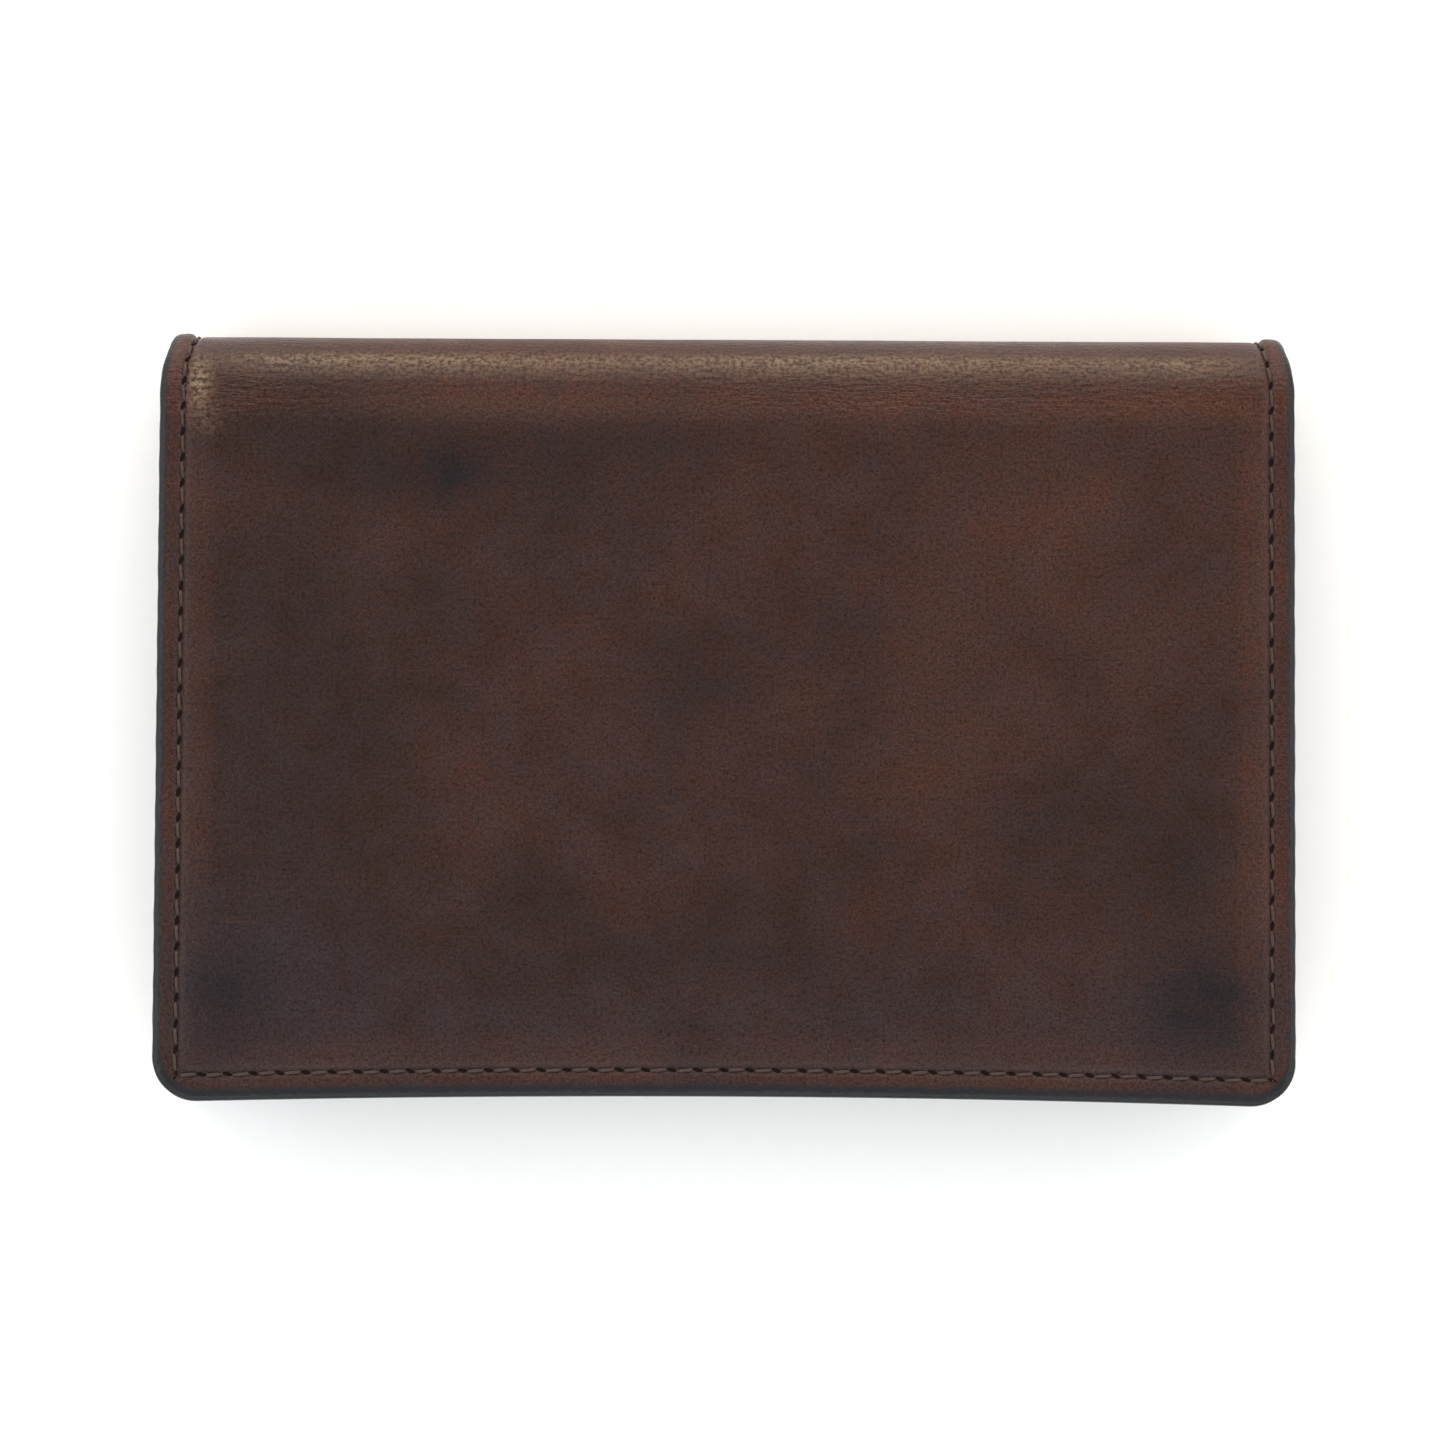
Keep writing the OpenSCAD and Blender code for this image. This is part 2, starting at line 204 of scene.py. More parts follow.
def cover_height(x, v, d, belly=0.12):
    """Height of the cover's skin over the nominal surface of its sewn margin. The belly is how much
    its middle rises, or 0 for a leaf that is pressed flat and isn't handled."""
    row, soft = to_row(x, v)
    v = np.abs(v)
    # The edge rolled over, the margin swelling beside the row, the groove, and the holes in it
    h = -edge_drop * (1 - np.sqrt(1 - np.clip(1 - d / edge_round, 0, 1) ** 2))
    h += 0.05 * np.exp(-((row + 1.0) / 0.5) ** 2)
    h -= 0.18 * np.exp(-(row / 0.38) ** 2)
    h -= 0.10 * np.exp(-(row / 0.30) ** 2 - (from_hole(x, v) / 0.42) ** 2)
    # The step up over the board's edge, and the belly
    step_wide = 1.1
    over_board = ease((v - board_end + 2.6) / 4.6)
    h += crown * (1 - np.exp(-soft.clip(0) / step_wide)) * over_board
    h += belly * ease((soft - 1) / 26) * over_board
    if belly > 0:
        # The leather pulled up at the fold's ends, and faint waves of 50 and 20 mm
        pulled = np.exp(-(soft / 4.5) ** 2 - ((v - 7.6) / 2.6) ** 2)
        h += 0.30 * (1 - np.exp(-soft.clip(0) / 0.8)) * pulled
        h += 0.022 * np.sin(x / 8.3 + 1.1) * np.sin(v / 6.1 + 0.4) * ease(soft / 4)
        h += 0.012 * np.sin(x / 3.1 + v / 4.3) * np.sin(v / 2.7 - x / 9) * ease(soft / 4)
    # The margin's end at the fold, which stands proud
    h += 0.30 * ease((-0.15 - row) / 0.5) * (1 - ease((v - 1.0) / 3.4))
    return h


def srgb(code):
    """A colour written as on a swatch card, made linear."""
    parts = [int(code[i:i + 2], 16) / 255 for i in (1, 3, 5)]
    return [c / 12.92 if c <= 0.04045 else ((c + 0.055) / 1.055) ** 2.4 for c in parts] + [1]


def add(tree, kind, feeds=None, **settings):
    """Adds a shader node with its settings, its values and the sockets that feed it."""
    node = tree.nodes.new("ShaderNode" + kind)
    for key, value in settings.items():
        setattr(node, key, value)
    for key, value in (feeds or {}).items():
        if isinstance(value, bpy.types.NodeSocket):
            tree.links.new(value, node.inputs[key])
        else:
            node.inputs[key].default_value = value
    return node


def new_material(name):
    """An empty material, its node tree and its surface output."""
    made = bpy.data.materials.new(name)
    made.use_nodes = True
    made.node_tree.nodes.clear()
    return made, made.node_tree, add(made.node_tree, "OutputMaterial")


def calf(name, plain, warm, cool, dark, paint="#202023", rough=0.46, grain=1.0, cloud=14.0):
    """Aniline-dyed calf, waxed and rubbed by hand: a semi-matt hide in which the dye sits unevenly,
    with fine pores and a faint pebble, burnished darker at rubbed places and painted at cut edges. Its
    marks also paint light into the colour: warm and cool sheen, a pale highlight and shade."""
    made, tree, out = new_material(name)
    flat = add(tree, "UVMap", uv_map="hide").outputs["UV"]
    hide_mm = add(tree, "VectorMath", {0: flat, 1: (1000, 1000, 1000)}, operation="MULTIPLY").outputs[0]
    mark = {what: add(tree, "Attribute", attribute_name=what).outputs["Fac"]
            for what in ("warmth", "cold", "burnish_and_shade", "crease", "painted", "painted_highlight")}
    # Dye clouds, on the cover 14 mm wide, and blotches of 4 mm in them. Each colour's share comes from a
    # pattern, its gain and start, and from the marks on the leather, which carry painted sheen and shade
    # as well as tone.
    clouds = add(tree, "TexNoise", {"Vector": hide_mm, "Scale": 1 / cloud, "Detail": 3.0, "Roughness": 0.6,
                                    "Distortion": 0.4}).outputs["Fac"]
    blotch = add(tree, "TexNoise", {"Vector": hide_mm, "Scale": 1 / 4.0, "Detail": 4.0,
                                    "Roughness": 0.62}).outputs["Fac"]
    colour = srgb(plain)
    for pattern, gain, start, what, how, mark_colour in ((clouds, 1.35, -0.42, "warmth", "ADD", warm),
                                                 (blotch, 0.9, -0.33, "cold", "ADD", cool),
                                                 (blotch, 2.4, -0.2, "burnish_and_shade", "MULTIPLY", dark)):
        share = add(tree, "Math", {0: pattern, 1: gain, 2: start}, operation="MULTIPLY_ADD").outputs[0]
        share = add(tree, "Math", {0: share, 1: mark[what]}, operation=how, use_clamp=True).outputs[0]
        colour = add(tree, "Mix", {0: share, 6: colour, 7: srgb(mark_colour)}, data_type="RGBA").outputs[2]
    # Pebble of 0.45 mm, a tooth of 0.2 mm on it, and dark pores 0.4 mm apart
    pebble = add(tree, "TexVoronoi", {"Vector": hide_mm, "Scale": 1 / 0.45, "Randomness": 1.0},
                 feature="SMOOTH_F1", voronoi_dimensions="2D").outputs["Distance"]
    tooth = add(tree, "TexNoise", {"Vector": hide_mm, "Scale": 1 / 0.22, "Detail": 2.0,
                                   "Roughness": 0.7}).outputs["Fac"]
    speck = add(tree, "TexNoise", {"Vector": hide_mm, "Scale": 1 / 0.42, "Detail": 3.0,
                                   "Roughness": 0.65}).outputs["Fac"]
    tint = add(tree, "MapRange", {0: tooth, 1: 0.3, 2: 0.7, 3: 0.40, 4: 1.75}).outputs[0]
    pore = add(tree, "MapRange", {0: speck, 1: 0.32, 2: 0.50, 3: 0.50, 4: 1.12}).outputs[0]
    tint = add(tree, "Math", {0: tint, 1: pore}, operation="MULTIPLY").outputs[0]
    colour = add(tree, "VectorMath", {0: colour, "Scale": tint}, operation="SCALE").outputs[0]
    # Scuffs: sparse pale streaks, about 9 mm long, 0.4 mm wide and slanting
    slant = add(tree, "Mapping", {"Vector": hide_mm, "Rotation": (0, 0, -0.35),
                                  "Scale": (0.11, 2.4, 1.0)}).outputs[0]
    scuff = add(tree, "TexNoise", {"Vector": slant, "Scale": 1.0, "Detail": 2.0,
                                   "Roughness": 0.6}).outputs["Fac"]
    scuff = add(tree, "MapRange", {0: scuff, 1: 0.66, 2: 0.74, 3: 0.0, 4: 0.5}).outputs[0]
    colour = add(tree, "Mix", {0: scuff, 6: colour, 7: srgb(warm)}, data_type="RGBA").outputs[2]
    # Creases run along the fold, 0.4 mm apart and 2 mm long
    along = add(tree, "Mapping", {"Vector": hide_mm, "Scale": (0.25, 1.3, 1.0)}).outputs[0]
    crinkle = add(tree, "TexNoise", {"Vector": along, "Scale": 1.9, "Detail": 3.0,
                                     "Roughness": 0.65}).outputs["Fac"]
    folds = add(tree, "Math", {0: crinkle, 1: mark["crease"]}, operation="MULTIPLY").outputs[0]
    # Painted highlight on the fold: where it is marked, the tops of the grain and of the creases are painted
    # pale, for the light they catch
    tops = add(tree, "Math", {0: speck, 1: 0.65, 2: -0.02}, operation="MULTIPLY_ADD").outputs[0]
    tops = add(tree, "Math", {0: crinkle, 1: 0.35, 2: tops}, operation="MULTIPLY_ADD").outputs[0]
    tops = add(tree, "MapRange", {0: tops, 1: 0.42, 2: 0.56, 3: 0.08, 4: 1.0}).outputs[0]
    tops = add(tree, "Math", {0: tops, 1: mark["painted_highlight"]}, operation="MULTIPLY", use_clamp=True).outputs[0]
    colour = add(tree, "Mix", {0: tops, 6: colour, 7: srgb("#85705a")}, data_type="RGBA").outputs[2]
    relief = add(tree, "Math", {0: pebble, 1: 0.55 * grain}, operation="MULTIPLY").outputs[0]
    relief = add(tree, "Math", {0: tooth, 1: 0.4 * grain, 2: relief}, operation="MULTIPLY_ADD").outputs[0]
    relief = add(tree, "Math", {0: folds, 1: 2.3, 2: relief}, operation="MULTIPLY_ADD").outputs[0]
    bump = add(tree, "Bump", {"Strength": 0.75, "Distance": 0.00011, "Height": relief}).outputs[0]
    gloss = add(tree, "MapRange", {0: blotch, 1: 0.3, 2: 0.7, 3: rough - 0.06, 4: rough + 0.07}).outputs[0]
    gloss = add(tree, "Math", {0: mark["crease"], 1: -0.2, 2: gloss}, operation="MULTIPLY_ADD").outputs[0]
    # Edge paint laps onto the grain side with a worn, uneven border
    border = add(tree, "TexNoise", {"Vector": hide_mm, "Scale": 1 / 1.3, "Detail": 3.0,
                                    "Roughness": 0.7}).outputs["Fac"]
    border = add(tree, "Math", {0: border, 1: 0.9, 2: -0.45}, operation="MULTIPLY_ADD").outputs[0]
    border = add(tree, "Math", {0: border, 1: mark["painted"]}, operation="ADD").outputs[0]
    border = add(tree, "MapRange", {0: border, 1: 0.12, 2: 0.95, 3: 0.0, 4: 1.0}).outputs[0]
    colour = add(tree, "Mix", {0: border, 6: colour, 7: srgb(paint)}, data_type="RGBA").outputs[2]
    gloss = add(tree, "Mix", {0: border, 2: gloss, 3: 0.34}, data_type="FLOAT").outputs[0]
    skin = add(tree, "BsdfPrincipled", {"Base Color": colour, "Roughness": gloss, "Normal": bump})
    skin.inputs["Specular IOR Level"].default_value = 0.2
    tree.links.new(skin.outputs[0], out.inputs["Surface"])
    return made


def make_piece(name, points, faces, flat, finish, flip=False, marks=None):
    """A piece from points in millimetres, with its flat pattern as the UV map."""
    if flip:
        faces = [face[::-1] for face in faces]
    mesh = bpy.data.meshes.new(name)
    mesh.from_pydata((np.asarray(points) / 1000).tolist(), [], faces)
    mesh.polygons.foreach_set("use_smooth", [True] * len(mesh.polygons))
    corners = np.zeros(len(mesh.loops), np.int32)
    mesh.loops.foreach_get("vertex_index", corners)
    pattern = mesh.uv_layers.new(name="hide")
    pattern.uv.foreach_set("vector", (np.asarray(flat)[corners] / 1000).astype(np.float32).ravel())
    for mark, value in (marks or {}).items():
        mesh.attributes.new(mark, "FLOAT", "POINT").data.foreach_set("value", np.asarray(value, np.float32))
    mesh.materials.append(finish)
    mesh.validate()
    piece = bpy.data.objects.new(name, mesh)
    bpy.context.scene.collection.objects.link(piece)
    return piece


def spots(x, y, places):
    """Soft round patches: each is a centre in millimetres, a width, a height and a strength."""
    total = 0 * x
    for px, py, wide, high, strength in places:
        total = total + strength * np.exp(-((x - px) / wide) ** 2 - ((y - py) / high) ** 2)
    return total


def wear_and_painted_light(x, v, d, handled=True):
    """How the colour differs over the cover and where the edge paint laps over, for each point. Besides
    tone, it paints light: a warm sheen over the fold, a pale highlight along its top, shade under that,
    a lit slope inside the row and a cool sheen along the free edge. The patches are placed by their
    centre on the flap."""
    y = arc + fold_y - np.abs(v)
    past_board = np.abs(v) - board_end
    row, soft = to_row(x, v)
    # Warmer over the fold and down to the board's end: painted warm sheen from the light beyond the fold.
    # Also warmer in the margin outside the row.
    warmth = 0.55 * (1 - ease((past_board + 1.5) / 3)) + 0.30 * ease((0.2 - row) / 0.4)
    cold = 0 * x
    painted_highlight = 0 * x
    burnish_and_shade = 0.10 * ease(past_board / 3) * (1 - ease((past_board - 3) / 6))
    if handled:
        warmth = warmth + spots(x, y, [(30, 24, 24, 14, 0.30), (24, 5, 20, 14, 0.12), (48, 6, 6, 30, -0.1)])
        warmth = warmth - spots(x, y, [(-42, 0, 12, 34, 0.22), (-20, -22, 30, 9, 0.16),
                                       (-42, 32, 14, 5, 0.25)])
        # Cool patches: the wide band along the free edge, at y = -29, is painted sheen, the cool grey the
        # slope there takes from the light in front. The corner and middle patches are tone.
        cold = spots(x, y, [(-46, -25, 11, 8, 0.42), (0, -29, 62, 6, 0.34), (-44, -8, 6, 24, 0.16),
                            (45, -29, 9, 7, 0.3), (-12, 18, 9, 6, 0.12), (-10, -4, 14, 9, 0.10)])
        burnish_and_shade = burnish_and_shade + spots(x, y, [
            (46, -27, 6, 5.5, 0.80), (43, -14, 4.5, 7, 0.36), (-48, -27, 5, 5, 0.70),
            (-28, 23, 4.5, 3.5, 0.62), (-2, 4, 6, 4.5, 0.42), (12, 9, 5, 3, 0.32),
            (-19, 25, 12, 4, 0.32), (2, -23, 9, 2.5, 0.32), (-40, 4, 7, 16, 0.16)])
        # Painted highlight: a pale line along the top of the fold, less towards its ends, and a glint at its
        # left corner
        line = 0.62 * np.exp(-((v - 5.7) / 0.8) ** 2) + 0.22 * np.exp(-((v - 6.9) / 0.9) ** 2)
        line = line * (0.25 + 0.75 * ease((51 - np.abs(x)) / 8)) * ease(row / 0.8)
        painted_highlight = line * (0.85 + 0.15 * np.sin(x / 7))
        painted_highlight = painted_highlight + spots(x, y, [(-50.7, 32.0, 1.0, 2.2, 0.95), (-49.8, 28.4, 1.4, 1.2, 0.22)])
        # Painted shade: darker just below that highlight, 8.2 mm round the fold
        burnish_and_shade = burnish_and_shade + 0.2 * np.exp(-((v - 8.2) / 1.7) ** 2)
    # Painted light: the slope that rises inside the row is made warmer and lighter, as the light catches it
    step = ease(soft / 0.6) * (1 - ease((soft - 2.4) / 1.6))
    warmth = warmth + 0.28 * step
    lap_free = 1.25
    lap_side = 0.75
    lap = lap_free + (lap_side - lap_free) * ease((free_v(x) - np.abs(v) - 2) / 4)
    painted = ease((lap - d) / 0.9 + 0.5)
    crease = ease((np.abs(v) - 0.8) / 1.5) * (1 - ease((past_board + 2) / 4))
    crease = crease * (0.55 + 0.45 * np.sin(x / 13))
    crease = crease + spots(x, y, [(-50, 32, 4, 5, 0.9), (50, 32, 4, 5, 0.5)])
    return {"warmth": warmth, "cold": cold, "burnish_and_shade": burnish_and_shade, "painted": painted,
            "crease": crease.clip(0, 1), "painted_highlight": painted_highlight}


cover_calf = calf("patina_calf", "#26150f", "#41251b", "#292125", "#140e10")
cover_insets = [0.12, 0.22, 0.34, 0.48, 0.64, 0.8, 1.0, 1.25, 1.5, 1.75, 1.95, 2.1, 2.2, 2.3, 2.4, 2.5,
                2.6, 2.7, 2.85, 3.05, 3.3, 3.6, 4.0, 4.4, 4.8, 5.3, 5.9, 6.6, 7.4, 8.2]
cover_under = 1.6  # the cover and its lining together
bend_r = fold_r - cover_under
bend_at = [(0, (fold_y + bend_r * math.sin(math.radians(a))) / 1000,
            (fold_z - bend_r * math.cos(math.radians(a))) / 1000) for a in (0, 60, 120, 180)]

x, v, d, faces, outer, mouth_line = sheet(cover_insets, bend_v, 0.38)
flap_cover = make_piece("flap_cover", wrap(x, v, cover_height(x, v, d), 1), faces, np.stack([x, v], 1),
                        cover_calf, True, wear_and_painted_light(x, v, d))
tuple(bend_at[2])
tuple(bend_at[3])
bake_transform(flap_cover)
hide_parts("cover_flap")

# Fold of the cover: the same calf, left soft with no board behind it, rolled to a half round of
# 12 mm, where the case opens. Its sewn ends stand a little proud.
near = np.array(near_bend)
between = np.linspace(-bend_v + 0.9, bend_v - 0.9, 16)
rows = np.concatenate([-bend_v + near, between, (bend_v - near)[::-1]])


def across_fold(first_x, first_d):
    """A grid over the fold, with its columns in line with the first row of a leaf's sheet."""
    wide = len(first_x)
    v = np.repeat(rows, wide)
    x = np.tile(first_x, len(rows)) * half_w(v) / half_w(bend_v)
    faces = [(i * wide + j, (i + 1) * wide + j, (i + 1) * wide + j + 1, i * wide + j + 1)
             for i in range(len(rows) - 1) for j in range(wide - 1)]
    return x, v, np.tile(first_d, len(rows)), faces


x, v, d, faces = across_fold(x[mouth_line], d[mouth_line])
spine_cover = make_piece("spine_cover", wrap(x, v, cover_height(x, v, d), 1), faces, np.stack([x, v], 1),
                         cover_calf, True, wear_and_painted_light(x, v, d))
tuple(bend_at[1])
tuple(bend_at[2])
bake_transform(spine_cover)
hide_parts("cover_spine_lower", "cover_spine_upper")

# Back of the cover: the same panel again, which the case lies on, so its crown is pressed flat.
x, v, d, faces, outer, mouth_line = sheet(cover_insets, bend_v, 0.45)
h = np.minimum(cover_height(x, v, d, 0), crown)
back_cover = make_piece("back_cover", wrap(x, v, h, -1), faces, np.stack([x, -v], 1), cover_calf, False,
                        wear_and_painted_light(x, v, d, False))
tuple(bend_at[0])
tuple(bend_at[1])
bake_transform(back_cover)
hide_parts("cover_back")

# Boards: 0.5 mm grey card of pressed waste fibre, glued between the cover and its lining. They are
# sealed in, and show only where a case is cut open.
card, tree, out = new_material("grey_board")
fibre = add(tree, "TexNoise", {"Scale": 900.0, "Detail": 4.0})
pulp = add(tree, "Mix", {0: fibre.outputs["Fac"], 6: srgb("#8d8375"), 7: srgb("#b3a893")}, data_type="RGBA")
bump = add(tree, "Bump", {"Strength": 0.3, "Distance": 0.0001, "Height": fibre.outputs["Fac"]})
face = add(tree, "BsdfPrincipled", {"Base Color": pulp.outputs[2], "Roughness": 0.9,
                                    "Normal": bump.outputs[0]})
tree.links.new(face.outputs[0], out.inputs["Surface"])
for node in ("board_flap", "board_back"):
    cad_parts[node].data.materials.clear()
    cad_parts[node].data.materials.append(card)

# Lining of the cover: 0.6 mm smooth calf glued all over the inside. Where it turns the fold it is
# on the short side of the bend, so it lies in fine cross creases.
lining_calf = calf("lining_calf", "#36231a", "#40291d", "#2e211b", "#221612", rough=0.52, grain=0.7,
                   cloud=22.0)
lining_insets = [0.5, 0.8, 1.3, 1.8, 2.1, 2.3, 2.5, 2.8, 3.4, 4.4, 5.6, 7.0, 8.2]


def lining_height(x, v):
    """Height of the lining's face, which has creases 2 mm apart where it turns the fold."""
    row, soft = to_row(x, v)
    turn = 1 - ease((np.abs(v) - arc + 1.5) / 3)
    ripple = 0.045 * turn * np.sin(np.abs(v) * 3.1 + 0.9 * np.sin(x / 9))
    ripple = ripple * (0.6 + 0.4 * np.sin(x / 5.5 + 1))
    return -cover_under + 0.05 * np.exp(-(row / 0.4) ** 2) - ripple * ease((row - 0.4) / 1.5)


def unworn(x, v):
    """Marks for leather that shows no wear: only the crease at the fold."""
    turn = 1 - ease((np.abs(v) - arc) / 3)
    return {"crease": 0.8 * turn, "warmth": 0.1 + 0 * x, "cold": 0 * x, "burnish_and_shade": 0.15 * turn,
            "painted": 0 * x}


for leaf, side, bodies, ends in (("flap", 1, ("spine_upper", "flap"), (2, 3)),
                                 ("back", -1, ("back", "spine_lower"), (0, 1))):
    x, v, d, faces, outer, mouth_line = sheet(lining_insets, bend_v, 0.7)
    lining = make_piece(leaf + "_lining", wrap(x, v, lining_height(x, v), side), faces,
                        np.stack([x, side * v], 1), lining_calf, side < 0, unworn(x, v))
    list(bodies)
    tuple(bend_at[ends[0]])
    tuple(bend_at[ends[1]])
    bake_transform(lining)
    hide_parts("lining_" + leaf)

x, v, d, faces = across_fold(x[mouth_line], d[mouth_line])
lining = make_piece("spine_lining", wrap(x, v, lining_height(x, v), 1), faces, np.stack([x, v], 1),
                    lining_calf, False, unworn(x, v))
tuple(bend_at[1])
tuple(bend_at[2])
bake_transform(lining)
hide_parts("lining_spine_lower", "lining_spine_upper")

# Slip pocket on the inside of the flap: 0.8 mm calf sewn in with the flap's own row, its mouth
# painted and open towards the fold. A strip is skived off behind it so that a card slides in.
margin_z = 2 * fold_z - crown
slip_low, slip_high = [corner * 1000 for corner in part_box("flap_pocket")]
flap_mouth = arc + fold_y - slip_high.y
pocket_calf = calf("pocket_calf", "#2b1711", "#3b2017", "#2a2022", "#191112", rough=0.5, grain=0.9,
                   cloud=18.0)


def rounded(depth, r):
    """How far a rounded cut edge has dropped, at a depth inside it."""
    return r * (1 - np.sqrt(1 - np.clip(1 - depth / r, 0, 1) ** 2))


def panel(name, insets, top, step, front, back, place, finish, flip, mouth=None, lap=0.3):
    """A cut panel with a face, a back and painted edges all round."""
    x, v, d, faces, outer, line = sheet(insets, top, step, mouth)
    n = len(x)
    to_mouth = v - (top if mouth is None else mouth(x))
    near = np.minimum(d - insets[0], to_mouth)
    points = np.concatenate([place(x, v, front(x, v, d, near)), place(x, v, back(x, v, d, near))])
    faces = faces + [tuple(k + n for k in face[::-1]) for face in faces]
    faces += [(a, a + n, b + n, b) for a, b in zip(outer, outer[1:])]
    faces += [(a, b, b + n, a + n) for a, b in zip(line, line[1:])]
    painted = np.tile(ease((lap - near) / 0.3 + 0.5), 2)
    marks = {"painted": painted, "warmth": 0.1 + 0 * painted, "cold": 0 * painted, "crease": 0 * painted,
             "burnish_and_shade": np.tile(0.35 * (1 - ease(near / 5)), 2)}
    flat = np.tile(np.stack([x, v + 100], 1), (2, 1))
    return make_piece(name, points, faces, flat, finish, flip, marks)


slip_border = 4.0  # its sewn border, left at full thickness
slot = 0.28  # how much is skived off inside the border
pocket_insets = [0.35, 0.5, 0.75, 1.1, 1.6, 2.0, 2.2, 2.4, 2.7, 3.2, 3.8, 4.3, 5.0, 6.2, 8.2]


def flap_pocket_face(x, v, d, near):
    row, soft = to_row(x, v)
    return slip_low.z - margin_z + rounded(v - flap_mouth, 0.3) + 0.06 * np.exp(-(row / 0.4) ** 2)


def flap_pocket_back(x, v, d, near):
    behind = slip_high.z - margin_z - 0.02 - slot * ease((d - slip_border + 0.3) / 0.6)
    return behind - rounded(v - flap_mouth, 0.2)


piece = panel("flap_slip_pocket", pocket_insets, flap_mouth, 0.6, flap_pocket_face, flap_pocket_back,
              lambda x, v, h: wrap(x, v, h, 1), pocket_calf, False)
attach(piece, "flap")
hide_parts("flap_pocket")

# Gusset: one strip of 0.7 mm soft calf folded inwards to a V round three sides. One flange is sewn
# to the back and the other to the pocket's front, so the pocket can fill out as it takes cards.
gusset_low, gusset_high = [corner * 1000 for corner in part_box("gusset")]
pocket_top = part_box("pocket_front")[1] * 1000
pocket_mouth = arc + fold_y - pocket_top.y
gusset_t = 0.7
gusset_flange = 4.8  # from the cover's edge to where the flange ends
gusset_tip = 8.2  # and to the V's fold
gusset_calf = calf("gusset_calf", "#2a1a14", "#352118", "#251c1a", "#19110f", rough=0.56, grain=0.8,
                   cloud=20.0)


def softened(points, times=3):
    """Cuts a line's corners, as a strip of leather does when it is folded."""
    for _ in range(times):
        cut = [points[0]]
        for a, b in zip(points, points[1:]):
            cut += [a * 0.75 + b * 0.25, a * 0.25 + b * 0.75]
        points = cut + [points[-1]]
    return np.array(points)


half = gusset_t / 2
middle = (gusset_low.z + gusset_high.z) / 2
flange_start = 0.45
fold_line = softened([np.array(p) for p in (
    (flange_start, gusset_low.z + half), (gusset_flange - 0.4, gusset_low.z + half),
    (gusset_tip - 0.3, middle - 0.25), (gusset_tip - 0.3, middle + 0.25),
    (gusset_flange - 0.4, gusset_high.z - half), (flange_start, gusset_high.z - half))])
# The upper flange stops short, flush with the pocket's front
fold_line[:, 0] += 0.8 * ease((fold_line[:, 1] - middle) / 2.2) * (1 - ease((fold_line[:, 0] - 3) / 3))
along = np.gradient(fold_line, axis=0)
along /= np.hypot(along[:, 0], along[:, 1])[:, None]
aside = np.stack([-along[:, 1], along[:, 0]], 1) * half
section = np.concatenate([fold_line + aside, (fold_line - aside)[::-1]])
sides = int((free_v(0) - pocket_mouth) / 0.8)
across = np.cumsum(np.hypot(*np.diff(section, axis=0, prepend=section[:1]).T))
points, flat = [], []
for (inset, z), girth in zip(section, across):
    px, pv = rim(max(inset, 0.1), pocket_mouth, sides, 160)
    run = np.cumsum(np.hypot(np.diff(px, prepend=px[0]), np.diff(pv, prepend=pv[0])))
    puckers = 0.05 * np.sin(px * 1.3 + pv * 1.1) * ease((inset - 3) / 3)
    points.append(np.stack([px, arc + fold_y - pv, z + puckers], 1))
    flat.append(np.stack([run, girth + 0 * run], 1))
m, k = len(points[0]), len(section)
faces = [(a * m + n, a * m + n + 1, (a + 1) % k * m + n + 1, (a + 1) % k * m + n)
         for a in range(k) for n in range(m - 1)]
# The two ends are closed across the strip's thickness
faces += [(n * m + e, (n + 1) * m + e, (k - 2 - n) * m + e, (k - 1 - n) * m + e)[::1 if e else -1]
          for n in range(k // 2 - 1) for e in (0, m - 1)]
points, flat = np.concatenate(points), np.concatenate(flat)
gusset = make_piece("pocket_gusset", points, faces, flat, gusset_calf, False,
                    {"crease": np.full(len(points), 0.4)})
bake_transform(gusset)
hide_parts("gusset")

# Front of the card pocket and the skiver that lines it: 0.9 mm calf, sewn to the gusset round three
# sides, its mouth painted and held flat by a row of its own.
lining_low, lining_high = [corner * 1000 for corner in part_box("pocket_lining")]
front_z = pocket_top.z
pocket_inset = 0.8  # how far it stays inside the cover's edge
pocket_row = pocket_inset + row_side
mouth_row = pocket_mouth + row_side
slip_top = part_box("slip_pocket")[1] * 1000
slip_mouth = arc + fold_y - slip_top.y
skiver = calf("skiver_lining", "#422f24", "#4d382a", "#3b2c23", "#2d211a", rough=0.6, grain=0.6,
              cloud=26.0)
front_insets = [pocket_inset + 0.1 + gap
                for gap in (0, 0.15, 0.35, 0.7, 1.2, 1.7, 2.0, 2.2, 2.4, 2.7, 3.2, 4.0, 5.5, 7.3)]


def flat_at(x, v, z):
    """The pocket's place for a point: like wrap, but level, at a height of its own."""
    return np.stack([x, arc + fold_y - v, z + 0 * x], 1)


def sunk(distance, depth, width):
    """How deep the leather is drawn in beside a sewn row."""
    return depth * np.exp(-(distance / width) ** 2)


def front_face(x, v, d, near):
    at_side = sunk(half_w(v) - np.abs(x) - pocket_row, 0.18, 0.35)
    at_mouth = sunk(v - mouth_row, 0.18, 0.35) * (np.abs(x) < half_w(v) - pocket_row)
    return front_z - rounded(near, 0.35) - np.maximum(at_side, at_mouth)


piece = panel("pocket_front_panel", front_insets, pocket_mouth, 0.6, front_face,
              lambda x, v, d, near: lining_high.z + rounded(near, 0.2), flat_at, pocket_calf, True)
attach(piece, "pocket")
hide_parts("pocket_front")

